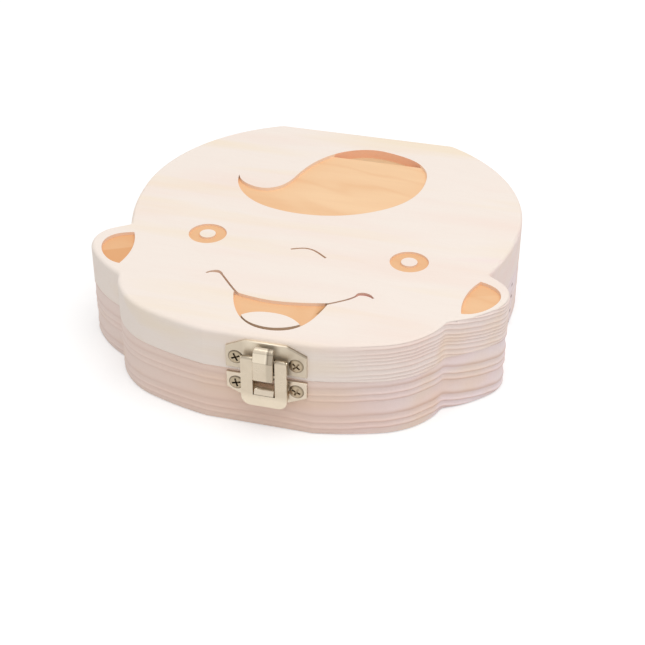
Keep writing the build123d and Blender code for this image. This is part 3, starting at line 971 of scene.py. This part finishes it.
def strap_brass():
    """Brass of the lever, with a painted highlight above its bend and a painted glint, and painted shade
    along its creases, on its right flank and in a groove.
    """
    material, tree, shader = brass("strap_brass", brass_colour, latch_roughness, deep_crevice_shade)
    low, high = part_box("latch_lever")
    middle, half = (low.x + high.x) / 2, (high.x - low.x) / 2
    _, (x, _, z) = place_in(tree)
    height = (z - low.z) / (high.z - low.z)
    across = (x - low.x) / (high.x - low.x)
    above_bend, on_curl = [spread(height, s - crease_reach, s + crease_reach) for s in crease_shares]
    low_crease, high_crease = [close_to(height, share, crease_reach) for share in crease_shares]
    flank = spread(across, *flank_range)
    # Painted highlight on the part that leans back above the bend, weaker on the curl, and a painted
    # glint beside the flank
    painted_highlight = (above_bend * lean_highlight - on_curl * (lean_highlight - curl_highlight)) * (1 - flank)
    glint = close_to(across, glint_share, glint_reach) * above_bend * glint_highlight
    # Painted shade in a groove, on the right flank and along the creases at the bends
    groove = close_to(across, groove_share, glint_reach) * above_bend * groove_shade
    shade = flank * (above_bend * (lean_flank_shade - flank_shade) + flank_shade) + groove
    inside = spread(((x - middle) / half) ** 2, *crease_edge_range)
    creases = (low_crease + high_crease) * inside * crease_shade
    repaint(
        tree,
        shader,
        (worn_edge_and_highlight_colour, painted_highlight + glint),
        (brass_shade_colour, (creases + shade).clamped()),
    )
    return material


def loop_brass():
    """Brass of the loop, paler towards the bottom of its tab, with painted shade on its shoulders."""
    material, tree, shader = brass("loop_brass", brass_colour, latch_roughness, deep_crevice_shade)
    _, (_, _, z) = place_in(tree)
    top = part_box("latch_loop")[1].z
    repaint(
        tree,
        shader,
        (worn_edge_and_highlight_colour, spread(z, *tab_range) * tab_paling),
        (brass_shade_colour, spread(z, top - shoulder_from, top - shoulder_full) * shoulder_shade),
    )
    return material


def plate_brass():
    """Brass of the lid's latch plate, with painted shade along its cut corner and painted light behind
    the lever, against the lever's shadow.
    """
    material, tree, shader = brass("plate_brass", brass_colour, plate_roughness, plate_crevice_shade)
    shader.inputs["Metallic"].default_value = plate_metallic
    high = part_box("latch_lid_plate")[1]
    _, (x, _, z) = place_in(tree)
    # Painted shade along the cut corner
    along = x - (high.x - cut_width)
    over_cut = along * (cut_drop / cut_width) + z - high.z
    dark = spread(over_cut, -cut_dark_end, -cut_dark_start) * spread(along, 0, edge_fade)
    lever_low, lever_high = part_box("latch_lever")
    # Painted light behind the lever, against the lever's shadow
    behind_lever = close_to(x, (lever_low.x + lever_high.x) / 2, lit_patch_reach)
    near_top = spread(z, high.z - lit_patch_drop, high.z - lit_patch_drop / 2)
    repaint(
        tree,
        shader,
        (lit_patch_colour, behind_lever * near_top * lit_patch_strength),
        (brass_shade_colour, dark * cut_dark),
    )
    return material


def catch_brass():
    """Brass of the catch plate, with painted shade on the lower part of its nose and a painted shadow
    line along its lowest edge.
    """
    material, tree, shader = brass("catch_brass", catch_colour, latch_roughness, deep_crevice_shade)
    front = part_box("latch_catch_plate")[0].y
    _, (_, y, z) = place_in(tree)
    on_nose = spread(y, front + nose_depth, front + nose_depth / 2)
    under = spread(z, *nose_shade_range) * nose_shade + spread(z, *nose_tip_range) * nose_shadow_line
    repaint(tree, shader, (brass_shade_colour, under * on_nose))
    return material


def screw_brass():
    """Duller brass of the screws, paler on the right, with painted shade in the cross and a painted
    shadow round the rim, heavier at the upper right, both weaker on the right.
    """
    material, tree, shader = brass("screw_brass", screw_colour, screw_roughness, deep_crevice_shade)
    spot, (x, _, z) = place_in(tree)
    radius = attribute(tree, "head_radius")
    across = (x - attribute(tree, "head_x")) / radius
    up = (z - attribute(tree, "head_z")) / radius
    lean = (across * rim_lean_across + up * rim_lean_up) * rim_lean
    # Painted shadow round the rim, heavier towards the upper right
    rim = spread((across ** 2 + up ** 2) ** 0.5 + lean, *rim_range)
    right = spread(x, 0, edge_fade)
    smudge = spread(noise(tree, spot, smudge_scales), *smudge_range)
    # Painted shade in the cross recess, made patchy by noise
    cross = attribute(tree, "recess") * (smudge * cross_smudge + (1 - cross_smudge))
    dark = (rim + cross * (1 - right * right_cross_fade)).clamped()
    repaint(
        tree,
        shader,
        (pale_screw_colour, right * pale_screw_share),
        (brass_shade_colour, dark * (screw_shade - right * right_screw_fade)),
    )
    return material


def brass_piece(node, material, bevel):
    """A metal node with its sharp edges rounded a little and marked as worn."""
    bm = welded(node)
    layer = bm.faces.layers.float.new("worn")
    rounded = bmesh.ops.bevel(
        bm,
        geom=[e for e in bm.edges if not e.smooth],
        offset=bevel,
        offset_type="OFFSET",
        segments=bevel_segments,
        profile=bevel_profile,
        affect="EDGES",
        clamp_overlap=True,
    )
    for face in rounded["faces"]:
        face[layer] = 1
    mark_sharp(bm)
    return finished_piece(node + "_brass", bm, node, [material])


def islands(mesh):
    """Lists of the numbers of faces that hang together."""
    bm = bmesh.new()
    bm.from_mesh(mesh)
    found = [[f.index for f in group] for group in linked_groups(bm.faces, touching_neighbours)]
    bm.free()
    return found


def mark_screws(piece):
    """Keeps on each face of each screw the place and size of its head, and whether it is recessed."""
    mesh = piece.data
    head_x, head_z, head_radius, recess = face_numbers(mesh, "head_x", "head_z", "head_radius", "recess")
    for group in islands(mesh):
        corners = [mesh.vertices[v].co for f in group for v in mesh.polygons[f].vertices]
        low_x, high_x = min(c.x for c in corners), max(c.x for c in corners)
        low_z, high_z = min(c.z for c in corners), max(c.z for c in corners)
        middle_x, middle_z = (low_x + high_x) / 2, (low_z + high_z) / 2
        radius = (high_x - low_x) / 2
        farthest = max(abs(c.y) for c in corners)
        for index in group:
            centre = mesh.polygons[index].center
            away = ((centre.x - middle_x) ** 2 + (centre.z - middle_z) ** 2) ** 0.5
            sunk = farthest - abs(centre.y) > recess_depth + screw_dome_height
            head_x[index].value = middle_x
            head_z[index].value = middle_z
            head_radius[index].value = radius
            recess[index].value = float(sunk and away < radius * recess_share)


def make_brass():
    """Every latch and hinge piece and every screw."""
    latch_metal, _, _ = brass("latch_brass", brass_colour, latch_roughness, deep_crevice_shade)
    screw_metal = screw_brass()
    special = {
        "latch_lever": strap_brass(),
        "latch_loop": loop_brass(),
        "latch_lid_plate": plate_brass(),
        "latch_catch_plate": catch_brass(),
    }
    for row in frame["record"]["subparts"]:
        node = row["node"]
        if "screws" in node:
            mark_screws(brass_piece(node, screw_metal, screw_bevel))
        elif "latch" in node or "hinge" in node:
            brass_piece(node, special.get(node, latch_metal), brass_bevel)


make_camera()
make_world()
make_floor()
area_light("key", key_place, key_size, key_power)
make_lid()
make_base()
make_brass()
bpy.context.scene.view_settings.view_transform = "Standard"
